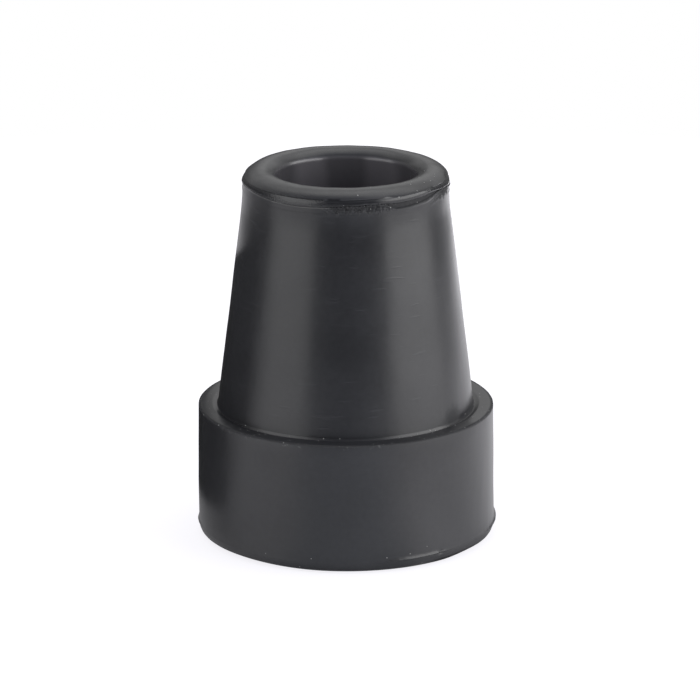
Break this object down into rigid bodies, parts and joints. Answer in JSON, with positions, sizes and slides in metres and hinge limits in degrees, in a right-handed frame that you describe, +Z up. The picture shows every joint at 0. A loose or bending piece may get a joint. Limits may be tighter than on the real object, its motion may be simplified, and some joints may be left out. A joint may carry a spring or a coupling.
{
  "type": "rubber cane tip",
  "caption": "Tapered black rubber tip for the foot of a walking cane: rolled rim around a deep blind socket, flat shoulder, round base and ring tread underneath.",
  "frame": {"origin": "centre of the foot's face, where the tip meets the ground", "axes": "+Z up along the cane, out of the socket's mouth; X and Y lie across it and are alike, because the tip is round"},
  "size_m": [0.0403, 0.0402, 0.0508],
  "materials": {
    "rubber": "satin moulded black rubber with parting lines"
  },
  "bodies": {
    "root": {"cane_tip": "rubber"}
  },
  "joints": []
}
